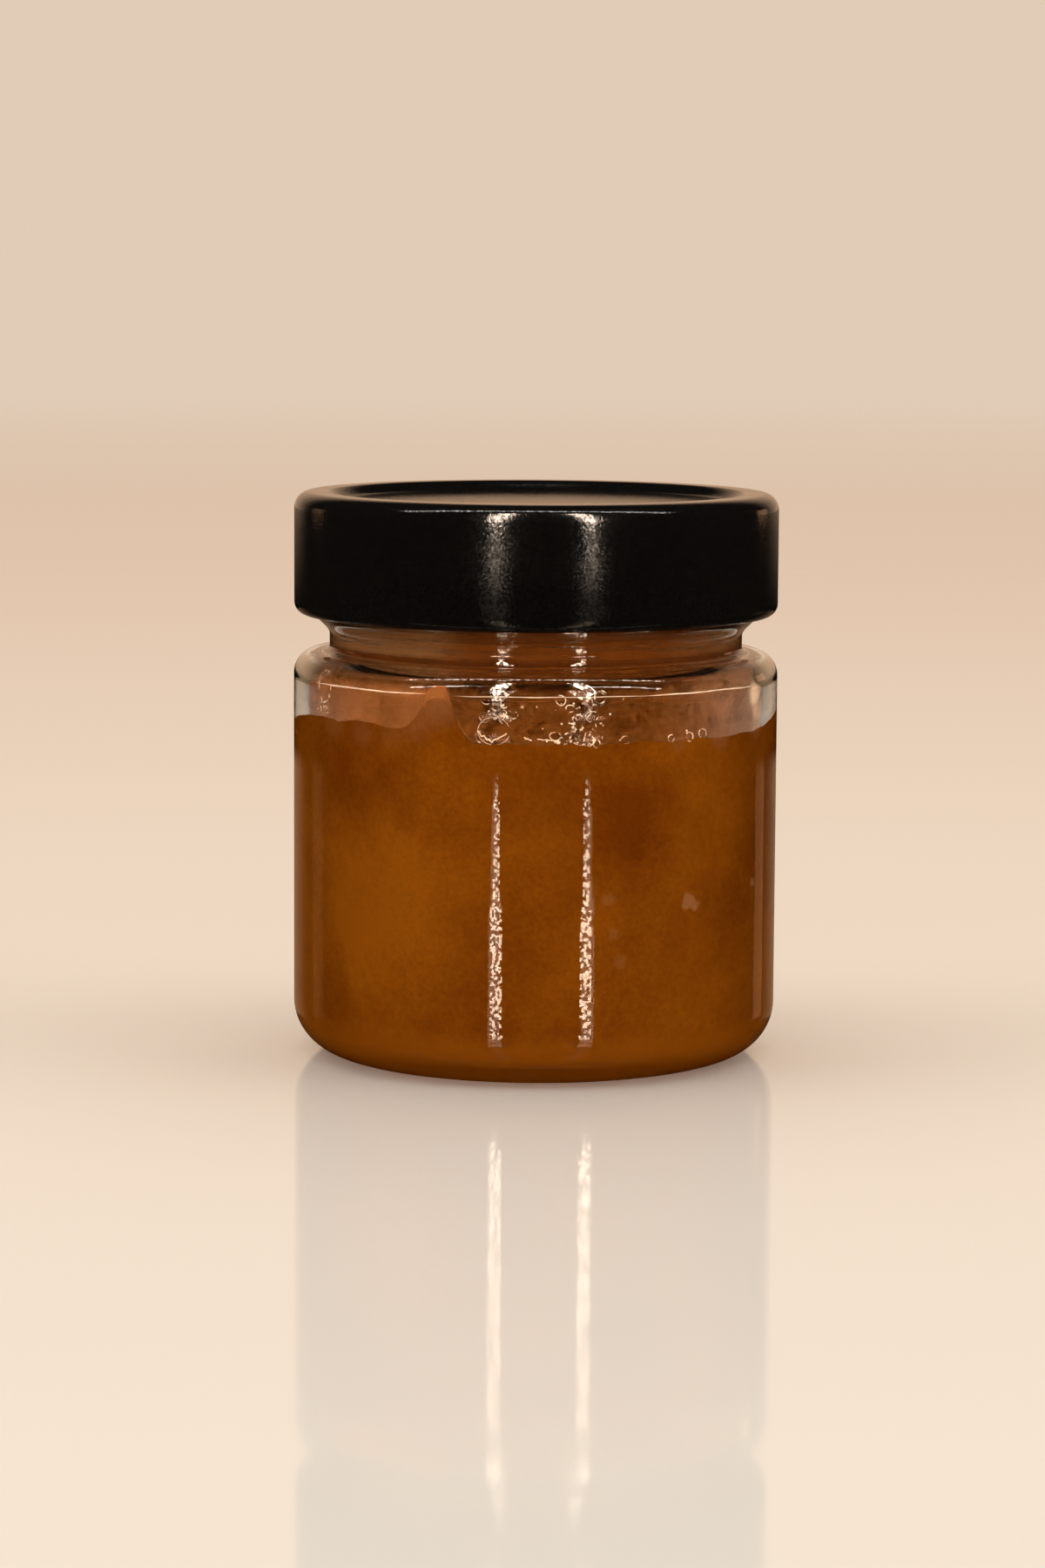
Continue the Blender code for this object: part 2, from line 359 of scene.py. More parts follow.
# Short lamps nearer the jar: name, low end, high end, width, radiance. Only the lid's skirt
# reflects the first. The second lies flat and faces up, so that only the neck reflects it.
SHORT_STRIPS = (
    ("lid_strip_", (0.50, 0.036), (0.50, 0.060), 0.036, 3.0),
    ("neck_strip_", (0.445, 0.019), (0.495, 0.019), 0.10, 11.0),
)
RIM_AZIMUTHS = {"left": -125.0, "right": 134.0}
RIM_COLOR = (1.0, 0.52, 0.27)
RIM_RADIANCE = {"left": 0.4, "right": 0.9}
RIM_LOW = (1.5, 0.02)
RIM_HIGH = (1.5, 0.33)
RIM_WIDTH = 0.28
SIDE_SOFT_AZIMUTHS = {"left": -80.0, "right": 80.0}
SIDE_SOFT_LOW = (1.6, 0.1)
SIDE_SOFT_HIGH = (1.4, 1.3)
SIDE_SOFT_WIDTH = 1.2
SIDE_SOFT_RADIANCE = 2.2
# Two lamps overhead, with their ends as points
OVERHEAD_LINE = ((0, -0.32, 1.3), (0, -0.22, 1.3))
OVERHEAD_LINE_WIDTH = 2.6
OVERHEAD_LINE_RADIANCE = 9.0
TOP_SOFT = ((0, -1.2, 2.0), (0, 2.2, 2.0))
TOP_SOFT_WIDTH = 3.4
TOP_SOFT_RADIANCE = 1.4


def between(start, end, share):
    """The value at a share of the way from start to end."""
    return start + (end - start) * share


def arc(centre, radius, start, end, steps):
    """Points of an arc about centre in the (radius, height) plane, angles in degrees."""
    points = []
    for i in range(steps + 1):
        angle = math.radians(start + (end - start) * i / steps)
        points.append((centre[0] + radius * math.cos(angle), centre[1] + radius * math.sin(angle)))
    return points


def s_curve(start, end, steps):
    """Points of a curve that leaves start and meets end along the vertical."""
    points = []
    for i in range(steps + 1):
        share = i / steps
        blend = (1 - math.cos(math.pi * share)) / 2
        points.append((between(start[0], end[0], blend), between(start[1], end[1], share)))
    return points


def crown_curve(start, end, steps):
    """Points of a curve that leaves start and meets end along the horizontal."""
    turned_points = s_curve((start[1], start[0]), (end[1], end[0]), steps)
    return [(radius, height) for height, radius in turned_points]


def straight(start, end, steps):
    """Points along a straight line, without its two ends."""
    points = []
    for i in range(1, steps):
        share = i / steps
        points.append((between(start[0], end[0], share), between(start[1], end[1], share)))
    return points


def inside_profile(offset=0.0):
    """Up the inside of the glass from its floor to the neck, moved outwards by offset."""
    shoulder_under = SHOULDER_TOP - SHOULDER_THICKNESS
    neck_bore = NECK_RADIUS - NECK_WALL
    mouth_bore = MOUTH_RADIUS - MOUTH_WALL
    heel_centre = (INNER_RADIUS - INNER_HEEL_RADIUS, FLOOR_THICKNESS + INNER_HEEL_RADIUS)
    rounding_centre = (
        INNER_RADIUS - INNER_SHOULDER_ROUNDING,
        shoulder_under - INNER_SHOULDER_ROUNDING,
    )
    points = [(0.0, FLOOR_THICKNESS + FLOOR_CROWN - offset)]
    points += arc(heel_centre, INNER_HEEL_RADIUS + offset, -90, 0, 14)
    points += straight(
        (INNER_RADIUS + offset, heel_centre[1]), (INNER_RADIUS + offset, rounding_centre[1]), 6
    )
    points += arc(rounding_centre, INNER_SHOULDER_ROUNDING + offset, 0, 90, 10)
    points += crown_curve(
        (neck_bore + 2 * NECK_FOOT_RISE + offset, shoulder_under + offset),
        (neck_bore + offset, SHOULDER_TOP),
        8,
    )
    points += s_curve(
        (neck_bore + offset, NECK_TOP), (mouth_bore + offset, NECK_TOP + FLARE_HEIGHT), 8
    )
    return points


def glass_profile():
    """Up the inside of the jar from its floor, over the mouth and down the outside."""
    rim = MOUTH_WALL / 2
    heel_centre = (BODY_RADIUS - HEEL_RADIUS, HEEL_RADIUS)
    shoulder_centre = (BODY_RADIUS - SHOULDER_ROUNDING, SHOULDER_TOP - SHOULDER_ROUNDING)
    foot_inside = heel_centre[0] - FOOT_WIDTH
    points = inside_profile()
    points += arc((MOUTH_RADIUS - rim, MOUTH_TOP - rim), rim, 180, 0, 12)
    points += s_curve((MOUTH_RADIUS, NECK_TOP + FLARE_HEIGHT), (NECK_RADIUS, NECK_TOP), 14)
    points += arc(
        (NECK_RADIUS + NECK_FOOT_RISE, SHOULDER_TOP + NECK_FOOT_RISE), NECK_FOOT_RISE, 180, 270, 6
    )
    points += arc(shoulder_centre, SHOULDER_ROUNDING, 90, 0, 14)
    points += straight((BODY_RADIUS, shoulder_centre[1]), (BODY_RADIUS, HEEL_RADIUS), 8)
    points += arc(heel_centre, HEEL_RADIUS, 0, -90, 18)
    points += crown_curve((foot_inside, 0.0), (foot_inside - PUSH_UP, PUSH_UP), 8)
    points += [(0.0, PUSH_UP_MIDDLE)]
    return points


def lid_profile():
    """From the middle of the sunk panel over the raised rim, down the skirt, round the
    rolled edge and back along the inside."""
    panel_top = TOTAL_HEIGHT - LID_RECESS_DEPTH
    inner_wall = LID_RADIUS - LID_WALL
    panel_under = panel_top - LID_PANEL_THICKNESS
    curl_outside = LID_RADIUS - LID_CURL_RADIUS
    curl_inside = curl_outside - LID_CURL_INNER_RADIUS
    curl_top = LID_BOTTOM + 2 * LID_CURL_INNER_RADIUS
    rim_centre = (LID_RADIUS - LID_RIM_ROUNDING, TOTAL_HEIGHT - LID_RIM_ROUNDING)
    inner_corner = (inner_wall - LID_INNER_ROUNDING, panel_under - LID_INNER_ROUNDING)
    points = [(0.0, panel_top)]
    points += [(LID_RECESS_RADIUS * share, panel_top) for share in (0.5, 0.9)]
    points += crown_curve(
        (LID_RECESS_RADIUS, panel_top), (LID_RECESS_RADIUS + LID_RECESS_SLOPE, TOTAL_HEIGHT), 14
    )
    points += arc(rim_centre, LID_RIM_ROUNDING, 90, 0, 14)
    points += straight(
        (LID_RADIUS, TOTAL_HEIGHT - LID_RIM_ROUNDING), (LID_RADIUS, LID_BOTTOM + LID_CURL_RADIUS), 5
    )
    points += arc((curl_outside, LID_BOTTOM + LID_CURL_RADIUS), LID_CURL_RADIUS, 0, -90, 10)
    points += arc(
        (curl_outside, LID_BOTTOM + LID_CURL_INNER_RADIUS), LID_CURL_INNER_RADIUS, -90, -180, 5
    )
    points += [(curl_inside, curl_top), (inner_wall, curl_top + (inner_wall - curl_inside))]
    points += arc(inner_corner, LID_INNER_ROUNDING, 0, 90, 5)
    points += [(0.0, panel_under)]
    return points


def wall_radius(height):
    """Inner radius of the glass at a height between its heel and the top of its shoulder."""
    middle = SHOULDER_TOP - SHOULDER_THICKNESS - INNER_SHOULDER_ROUNDING
    if height <= middle:
        return INNER_RADIUS
    above = min(height - middle, INNER_SHOULDER_ROUNDING)
    across = math.sqrt(INNER_SHOULDER_ROUNDING**2 - above**2)
    return INNER_RADIUS - INNER_SHOULDER_ROUNDING + across


def climb(azimuth):
    """How far above its level the preserve meets the glass, for an azimuth in degrees."""
    total = 0.0
    for middle, width, rise in CLIMBS:
        away = (azimuth - middle + 180) % 360 - 180
        total += rise * math.exp(-((away / width) ** 2))
    return total


def contact_height(azimuth):
    """Height at which the preserve meets the glass."""
    direction = around(azimuth, 1.0, 0.0)
    jitter = sum(size * noise.noise(direction * waves) for size, waves in CONTACT_JITTER)
    height = FILL_LEVEL + climb(azimuth) + MENISCUS_RISE + jitter
    return min(height, CLIMB_LIMIT)


def around(azimuth, radius, height):
    """The point at an azimuth in degrees from the front towards +X."""
    angle = math.radians(azimuth)
    return Vector((radius * math.sin(angle), -radius * math.cos(angle), height))


def azimuths(segments):
    """As many azimuths in degrees, evenly spaced round the jar."""
    return [360 * i / segments for i in range(segments)]


def turned_rows(profile, segments):
    """Rows of points for a profile of (radius, height) turned round the axis."""
    rows = []
    for radius, height in profile:
        if radius < 1e-7:
            rows.append([Vector((0.0, 0.0, height))])
        else:
            rows.append([around(azimuth, radius, height) for azimuth in azimuths(segments)])
    return rows


def smooth_mesh(name, work):
    """The finished work as a mesh with smooth faces."""
    mesh = bpy.data.meshes.new(name)
    work.to_mesh(mesh)
    work.free()
    mesh.shade_smooth()
    return mesh


def skin(name, rows, closed_ends=True):
    """A smooth mesh through rows of points round the axis. A row of one point is a pole."""
    work = bmesh.new()
    grid = [[work.verts.new(point) for point in row] for row in rows]
    count = max(len(row) for row in grid)
    for first, second in zip(grid, grid[1:]):
        for i in range(count):
            j = (i + 1) % count
            corners = [first[i % len(first)], first[j % len(first)]]
            corners += [second[j % len(second)], second[i % len(second)]]
            unique = [corner for k, corner in enumerate(corners) if corner not in corners[:k]]
            work.faces.new(unique)
    if closed_ends:
        bmesh.ops.recalc_face_normals(work, faces=work.faces)
    return smooth_mesh(name, work)


def piece(name, mesh, materials):
    """The mesh as an object of the jar, with its materials."""
    result = bpy.data.objects.new(name, mesh)
    bpy.context.scene.collection.objects.link(result)
    for material in materials:
        mesh.materials.append(material)
    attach(result, "root")
    return result


# Materials


class Nodes:
    """Short ways to add nodes to one material, or to the world."""

    def __init__(self, owner, coordinates="Object"):
        owner.use_nodes = True
        self.owner = owner
        self.tree = owner.node_tree
        self.shader = self.tree.nodes.get("Principled BSDF")
        self.place = self.add("ShaderNodeTexCoord").outputs[coordinates]

    def add(self, kind, **settings):
        node = self.tree.nodes.new(kind)
        for key, value in settings.items():
            setattr(node, key, value)
        return node

    def put(self, socket, value):
        """Sets a socket, or links it if value is another socket."""
        if isinstance(value, bpy.types.NodeSocket):
            self.tree.links.new(value, socket)
        else:
            socket.default_value = value

    def set(self, **values):
        """Sets inputs of the Principled shader, written as Base_Color and so on."""
        for key, value in values.items():
            if key.endswith("Color") and isinstance(value, tuple):
                value = (*value, 1.0)
            self.put(self.shader.inputs[key.replace("_", " ")], value)

    def surface(self, shader):
        """Gives the material another shader than the Principled one alone."""
        self.put(self.tree.nodes["Material Output"].inputs["Surface"], shader)

    def stretched(self, scale):
        node = self.add("ShaderNodeMapping")
        self.put(node.inputs["Vector"], self.place)
        node.inputs["Scale"].default_value = scale
        return node.outputs["Vector"]

    def noise(self, wavelength, detail=2.0, roughness=0.5, distortion=0.0, vector=None):
        """Noise from 0 to 1 whose features are about wavelength metres across."""
        node = self.add("ShaderNodeTexNoise")
        self.put(node.inputs["Vector"], vector or self.place)
        node.inputs["Scale"].default_value = 1 / wavelength
        node.inputs["Detail"].default_value = detail
        node.inputs["Roughness"].default_value = roughness
        node.inputs["Distortion"].default_value = distortion
        return node.outputs["Fac"]

    def spread(self, value, low, high, start=0.0, end=1.0, smooth=False):
        """Maps low..high to start..end and stops at both ends."""
        node = self.add("ShaderNodeMapRange")
        node.interpolation_type = "SMOOTHSTEP" if smooth else "LINEAR"
        keys = ("From Min", "From Max", "To Min", "To Max")
        for key, number in zip(keys, (low, high, start, end)):
            self.put(node.inputs[key], number)
        self.put(node.inputs["Value"], value)
        return node.outputs["Result"]

    def math(self, operation, first, second=0.0):
        node = self.add("ShaderNodeMath", operation=operation)
        self.put(node.inputs[0], first)
        self.put(node.inputs[1], second)
        return node.outputs["Value"]

    def mixed(self, share, first, second):
        """A mix of two values."""
        node = self.add("ShaderNodeMix", data_type="FLOAT")
        sockets = (node.inputs[0], node.inputs[2], node.inputs[3])
        for socket, value in zip(sockets, (share, first, second)):
            self.put(socket, value)
        return node.outputs[0]

    def blend(self, share, first, second):
        """A mix of two colours."""
        node = self.add("ShaderNodeMix", data_type="RGBA")
        self.put(node.inputs["Factor"], share)
        for socket, color in ((node.inputs[6], first), (node.inputs[7], second)):
            self.put(socket, (*color, 1.0) if isinstance(color, tuple) else color)
        return node.outputs[2]

    def mixed_shaders(self, share, first, second):
        """A mix of two shaders."""
        node = self.add("ShaderNodeMixShader")
        for socket, value in zip(node.inputs, (share, first, second)):
            self.put(socket, value)
        return node.outputs[0]

    def axis(self, letter):
        """X, Y or Z of the place."""
        node = self.add("ShaderNodeSeparateXYZ")
        self.put(node.inputs[0], self.place)
        return node.outputs[letter]

    def front(self):
        """1 on the front third of the jar, falling to 0 at its sides."""
        return self.spread(self.axis("Y"), *FRONT_DEPTHS, 1.0, 0.0)

    def wet_spots(self):
        """1 in small wet spots and 0 between them, for glitter."""
        return self.spread(self.noise(WET_SPOT_SIZE, 1.0, 0.5), *WET_SPOT_LEVELS, smooth=True)

    def wobbled(self, wavelength, reach):
        """The place, moved by up to reach along each axis, for uneven outlines."""
        wobble = self.add("ShaderNodeTexNoise")
        self.put(wobble.inputs["Vector"], self.place)
        wobble.inputs["Scale"].default_value = 1 / wavelength
        move = self.add("ShaderNodeVectorMath", operation="SCALE")
        self.put(move.inputs[0], wobble.outputs["Color"])
        move.inputs["Scale"].default_value = reach
        moved = self.add("ShaderNodeVectorMath", operation="ADD")
        self.put(moved.inputs[0], self.place)
        self.put(moved.inputs[1], move.outputs[0])
        return moved.outputs[0]

    def near(self, point, inner, outer, vector=None):
        """1 within inner metres of a point, falling to 0 at outer."""
        node = self.add("ShaderNodeVectorMath", operation="DISTANCE")
        self.put(node.inputs[0], vector or self.place)
        node.inputs[1].default_value = point
        return self.spread(node.outputs["Value"], inner, outer, 1.0, 0.0, smooth=True)

    def on_wall(self, azimuth, height, inner, outer):
        """1 round a spot on the inside of the wall, falling to 0 at outer."""
        return self.near(around(azimuth, INNER_RADIUS, height), inner, outer)

    def bump(self, height, distance):
        node = self.add("ShaderNodeBump")
        node.inputs["Strength"].default_value = 1.0
        node.inputs["Distance"].default_value = distance
        self.put(node.inputs["Height"], height)
        return node.outputs["Normal"]


def new_material(name):
    """The nodes of a new material."""
    return Nodes(bpy.data.materials.new(name))


def glass_material():
    """Clear glass, faintly rippled like blown ware, with glitter where it is wet above the
    preserve. Lamps shine through it."""
    nodes = new_material("clear glass")
    ripple = nodes.bump(nodes.noise(RIPPLE_LENGTH, 2.0), RIPPLE_HEIGHT)
    upper = nodes.spread(nodes.axis("Z"), *GLITTER_HEIGHTS)
    glitter = nodes.math("MULTIPLY", nodes.wet_spots(), upper)
    glitter = nodes.mixed(nodes.front(), GLITTER_ELSEWHERE, glitter)
    nodes.set(
        Base_Color=GLASS_TINT,
        Roughness=0.0,
        IOR=1.5,
        Specular_Tint=nodes.blend(glitter, GLASS_DULL, GLASS_BRIGHT),
        Transmission_Weight=1.0,
        Normal=ripple,
    )
    path = nodes.add("ShaderNodeLightPath").outputs
    clear = nodes.add("ShaderNodeBsdfTransparent").outputs[0]
    nodes.surface(nodes.mixed_shaders(path["Is Shadow Ray"], nodes.shader.outputs[0], clear))
    return nodes.owner


def preserve_material():
    """Cloudy amber preserve: broad lighter and darker patches of painted light and shade, a lighter
    heel as painted light, fine pulp, pale flecks, haze near its top, and glitter where it is wet in
    front."""
    nodes = new_material("amber preserve")
    shade = nodes.spread(nodes.noise(CLOUD_LENGTH, 3.0, 0.5, 0.8), 0.3, 0.7, *CLOUD_SHADES)
    # Painted light and shade: lighter and darker patches against the glass
    for *spot, amount in PAINTED_LIGHT_DRIFTS:
        drift = nodes.math("MULTIPLY", nodes.on_wall(*spot), amount)
        shade = nodes.math("ADD", shade, drift)
    for wavelength, detail, amount in PULP:
        pulp = nodes.noise(wavelength, detail, 0.6)
        shade = nodes.math("ADD", shade, nodes.spread(pulp, 0.3, 0.7, -amount, amount))
    tone = nodes.blend(nodes.spread(shade, 0.0, 1.0), PRESERVE_DARK, PRESERVE_LIGHT)
    # Painted light: lighter towards the bottom
    heel = nodes.spread(nodes.axis("Z"), *HEEL_LIGHT_HEIGHTS, 1.0, 0.0, smooth=True)
    tone = nodes.blend(heel, tone, HEEL_PAINTED_LIGHT)
    wobbled = nodes.wobbled(FLECK_WOBBLE_LENGTH, FLECK_WOBBLE)
    middle = Vector((0.5, 0.5, 0.5)) * FLECK_WOBBLE
    for azimuth, height, inner, outer, amount in FLECKS:
        point = around(azimuth, INNER_RADIUS, height) + middle
        fleck = nodes.math("MULTIPLY", nodes.near(point, inner, outer, wobbled), amount)
        tone = nodes.blend(fleck, tone, FLECK_COLOR)
    for *spot, amount in SMEARS:
        smear = nodes.math("MULTIPLY", nodes.on_wall(*spot), amount)
        tone = nodes.blend(smear, tone, SMEAR_COLOR)
    wet = nodes.spread(nodes.math("ABSOLUTE", nodes.axis("X")), *WET_WIDTHS, 1.0, 0.0)
    wet = nodes.math("MULTIPLY", wet, nodes.spread(nodes.axis("Z"), *WET_HEIGHTS))
    wet = nodes.math("MULTIPLY", wet, nodes.front())
    glitter = nodes.math("MULTIPLY", nodes.wet_spots(), wet)
    nodes.set(Base_Color=tone, Roughness=0.0, IOR=1.5, Specular_IOR_Level=glitter)
    return nodes.owner


def preserve_top_material():
    """The open top of the preserve: the same, but wet."""
    nodes = new_material("wet preserve top")
    drift = nodes.spread(nodes.noise(9 * MM, 3.0), 0.3, 0.7)
    tone = nodes.blend(drift, PRESERVE_TOP_DARK, PRESERVE_TOP_LIGHT)
    wave = nodes.bump(nodes.noise(3 * MM, 2.0), 0.2 * MM)
    nodes.set(Base_Color=tone, Roughness=0.2, Specular_IOR_Level=0.4, Normal=wave)
    return nodes.owner


def lid_material():
    """Satin black lacquer with a fine grain, duller low on the skirt."""
    nodes = new_material("black lacquer")
    shine = nodes.spread(nodes.axis("Z"), *LID_SHINE_HEIGHTS, *LID_SHINE, smooth=True)
    speckle = nodes.spread(nodes.noise(LID_GRAIN, 1.0), 0.38, 0.62, *LID_SPECKLE)
    nodes.set(
        Base_Color=nodes.blend(nodes.noise(LID_GRAIN, 2.0), LID_DARK, LID_LIGHT),
        Roughness=nodes.spread(nodes.noise(9 * MM, 3.0), 0.3, 0.7, *LID_ROUGHNESS),
        Specular_IOR_Level=nodes.math("MULTIPLY", shine, speckle),
        Normal=nodes.bump(nodes.noise(LID_BUMP_SIZE, 2.0), LID_BUMP_HEIGHT),
    )
    return nodes.owner


def lid_inside_material():
    """Gold lacquer that keeps the food off the steel."""
    nodes = new_material("gold inside lacquer")
    tone = nodes.blend(nodes.noise(4 * MM, 2.0), GOLD_DARK, GOLD_LIGHT)
    nodes.set(Base_Color=tone, Roughness=0.35)
    return nodes.owner


def film_material():
    """What is left on the inside of the glass: haze at the front, paler at the right as partly
    painted reflection, pale patches that are painted light at the jar's sides and dried preserve
    elsewhere, level bands in the neck, and a brown coat behind."""
    nodes = new_material("smeared preserve")
    across = nodes.axis("X")
    height = nodes.axis("Z")
    left = nodes.spread(across, *HAZE_LEFT, 1.0, 0.0, smooth=True)
    right = nodes.spread(across, *HAZE_RIGHT, smooth=True)
    streak = nodes.noise(STREAK_LENGTH, 4.0, 0.6, 0.8, nodes.stretched(STREAK_STRETCH))

    haze = nodes.spread(left, 0.0, 1.0, HAZE_MIDDLE_COVER, HAZE_LEFT_COVER)
    haze = nodes.math("ADD", haze, nodes.math("MULTIPLY", right, HAZE_RIGHT_COVER))
    thinned = nodes.spread(right, 0.0, 1.0, *THINNED_SHARES)
    haze = nodes.math("MULTIPLY", haze, nodes.spread(height, *THINNED_HEIGHTS, 1.0, thinned))
    density = nodes.spread(streak, 0.38, 0.62, *STREAK_DENSITY)
    cover = nodes.math("MULTIPLY", haze, density)
    grain = nodes.spread(nodes.noise(0.8 * MM, 2.0), 0.3, 0.7, -HAZE_GRAIN, HAZE_GRAIN)
    cover = nodes.math("ADD", cover, grain)
    tone = nodes.blend(left, HAZE_TONE, HAZE_LEFT_TONE)
    # Paler grey tone at the right: partly painted reflection
    tone = nodes.blend(right, tone, HAZE_RIGHT_REFLECTION_TONE)
    # Pale patches: painted light at the jar's sides, dried preserve elsewhere
    for *spot, amount, color in DRIED_PATCHES_AND_PAINTED_LIGHT:
        patch = nodes.math("MULTIPLY", nodes.on_wall(*spot), amount)
        tone = nodes.blend(patch, tone, color)
        cover = nodes.math("MAXIMUM", cover, patch)

    neck = nodes.spread(height, NECK_COAT_START, NECK_COAT_START + MM, smooth=True)
    bands = nodes.noise(BAND_LENGTH, 2.0, 0.5, 0.0, nodes.stretched(BAND_STRETCH))
    cover = nodes.mixed(neck, cover, nodes.spread(bands, 0.35, 0.65, *NECK_COVER))
    neck_tone = nodes.blend(nodes.math("ADD", left, right), NECK_TONE, NECK_SIDE_TONE)
    foot = nodes.spread(height, *NECK_FOOT_HEIGHTS, 1.0, 0.0, smooth=True)
    neck_tone = nodes.blend(foot, neck_tone, NECK_FOOT_TONE)
    tone = nodes.blend(neck, tone, neck_tone)

    back = nodes.spread(nodes.axis("Y"), *COAT_DEPTHS, smooth=True)
    cover = nodes.mixed(back, cover, nodes.spread(streak, 0.25, 0.6, *COAT_COVER))
    coat = nodes.blend(nodes.spread(streak, 0.3, 0.7), COAT_DARK, COAT_LIGHT)
    tone = nodes.blend(back, tone, coat)
    nodes.set(Base_Color=tone, Roughness=0.6, Specular_IOR_Level=0.0, Alpha=cover)
    return nodes.owner


def bubble_material():
    """Wet froth, uneven in cover: its pale spots are painted glints."""
    nodes = new_material("wet froth")
    thick = nodes.noise(0.7 * MM, 1.0)
    cover = nodes.spread(thick, 0.42, 0.60, 0.05, 1.0, smooth=True)
    # Pale spots: painted glints
    tone = nodes.blend(nodes.spread(thick, 0.48, 0.62), FROTH_DARK, FROTH_PAINTED_GLINT)
    nodes.set(Base_Color=tone, Roughness=0.1, Specular_IOR_Level=0.9, Alpha=cover)
    return nodes.owner


def ridge_highlight_material():
    """Pale, glossy ridge on the glass; its pale colour is a painted highlight."""
    nodes = new_material("pale ridge with painted highlight")
    cover = nodes.spread(nodes.noise(1.5 * MM, 2.0), 0.3, 0.6, 0.75, 1.0)
    nodes.set(Base_Color=RIDGE_PAINTED_HIGHLIGHT, Roughness=0.15, Specular_IOR_Level=0.9, Alpha=cover)
    return nodes.owner


def shaded_edge_material():
    """The preserve's edge against the glass, near black: painted shade."""
    nodes = new_material("preserve edge with painted shade")
    tone = nodes.blend(nodes.noise(2 * MM, 2.0), SHADED_EDGE_DARK, SHADED_EDGE_LIGHT)
    nodes.set(Base_Color=tone, Roughness=0.3, Specular_IOR_Level=0.1)
    return nodes.owner


# Pieces


def make_glass():
    mesh = skin("jar_glass_clear", turned_rows(glass_profile(), GLASS_SEGMENTS))
    result = piece("jar_glass_clear", mesh, [glass_material()])
    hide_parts("jar_glass")


def top_height(azimuth, share):
    """Height of the open top, at a share of the way out to the glass."""
    edge = contact_height(azimuth)
    spot = around(azimuth, share * wall_radius(edge), 0.0)
    turn = math.tau / SWELL_LENGTH
    across = math.sin(turn * spot.x + SWELL_PHASE[0])
    along = math.cos(turn * SWELL_DEPTH_SHARE * spot.y + SWELL_PHASE[1])
    level = FILL_LEVEL + SWELL * across * along * (1 - share**SWELL_EDGE_POWER)
    rise = edge - FILL_LEVEL - climb(azimuth)
    meniscus = rise * math.exp(-(1 - share) * INNER_RADIUS / MENISCUS_REACH)
    return level + climb(azimuth) * share**CLING_POWER + meniscus


def make_preserve():
    """One body: its floor and side reach just into the glass, its top is open and uneven."""
    heel_centre = (INNER_RADIUS - INNER_HEEL_RADIUS, FLOOR_THICKNESS + INNER_HEEL_RADIUS)
    profile = [(0.0, FLOOR_THICKNESS + FLOOR_CROWN - EMBED)]
    profile += arc(heel_centre, INNER_HEEL_RADIUS + EMBED, -90, 0, 14)
    rows = turned_rows(profile, GLASS_SEGMENTS)
    for k in range(1, SIDE_ROWS + 1):
        row = []
        for azimuth in azimuths(GLASS_SEGMENTS):
            height = between(heel_centre[1], contact_height(azimuth), k / SIDE_ROWS)
            row.append(around(azimuth, wall_radius(height) + EMBED, height))
        rows.append(row)
    first_top_face = (len(rows) - 1) * GLASS_SEGMENTS
    for k in range(1, TOP_ROWS):
        share = 1 - (k / TOP_ROWS) ** 2
        row = []
        for azimuth in azimuths(GLASS_SEGMENTS):
            radius = share * wall_radius(contact_height(azimuth))
            row.append(around(azimuth, radius, top_height(azimuth, share)))
        rows.append(row)
    rows.append([Vector((0.0, 0.0, top_height(0.0, 0.0)))])
    mesh = skin("preserve_fill", rows)
    materials = [preserve_material(), preserve_top_material()]
    result = piece("preserve_fill", mesh, materials)
    for face in mesh.polygons:
        face.material_index = int(face.index >= first_top_face)
    mesh.set_sharp_from_angle(angle=SHARP_EDGE)
    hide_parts("preserve")


def make_film():
    """A thin smear from the preserve up into the neck. It hangs just inside the glass, and in
    the neck it reaches into the glass."""
    lowest = SHOULDER_TOP - SHOULDER_THICKNESS - FILM_OVERLAP
    highest = LID_BOTTOM + FILM_OVERLAP
    upper = []
    for hung, stuck in zip(inside_profile(-FILM_GAP), inside_profile(EMBED)):
        if lowest < hung[1] < highest:
            share = min(1.0, max(0.0, (hung[1] - NECK_COAT_START + 0.5 * MM) / MM))
            upper.append(tuple(between(a, b, share) for a, b in zip(hung, stuck)))
    base = upper[0][1]
    rows = []
    for k in range(FILM_FOOT_ROWS):
        row = []
        for azimuth in azimuths(FILM_SEGMENTS):
            low = min(contact_height(azimuth) - FILM_FOOT_DEPTH, base - FILM_FOOT_HEIGHT)
            height = low + (base - low) * k / FILM_FOOT_ROWS
            row.append(around(azimuth, wall_radius(height) - FILM_GAP, height))
        rows.append(row)
    rows += turned_rows(upper, FILM_SEGMENTS)
    mesh = skin("smear_film", rows, closed_ends=False)
    result = piece("smear_film", mesh, [film_material()])
    thicken = result.modifiers.new("Thicken", "SOLIDIFY")
    thicken.thickness = FILM_THICKNESS
    thicken.offset = -1.0


def join_rings(work, rings):
    """Faces between each ring of corners and the next."""
    for first, second in zip(rings, rings[1:]):
        for k in range(len(first)):
            j = (k + 1) % len(first)
            work.faces.new((first[k], second[k], second[j], first[j]))


def finish_on_glass(work, name, material):
    """Makes one piece of what was added to the inside of the glass."""
    bmesh.ops.recalc_face_normals(work, faces=work.faces)
    piece(name, smooth_mesh(name, work), [material])


def bubble_spots():
    """Azimuth, height and radius of each bubble on the glass, in loose crowds."""
    spots = []
    for middle, spread_out, low, high, count in BUBBLE_CROWDS:
        for _ in range(count):
            azimuth = random.gauss(middle, spread_out)
            height = between(low, high, random.random() ** BUBBLE_CROWDING)
            radius = BUBBLE_RADIUS * math.exp(random.gauss(0.0, BUBBLE_SIZE_SPREAD))
            spots.append((azimuth, height, radius))
    return spots


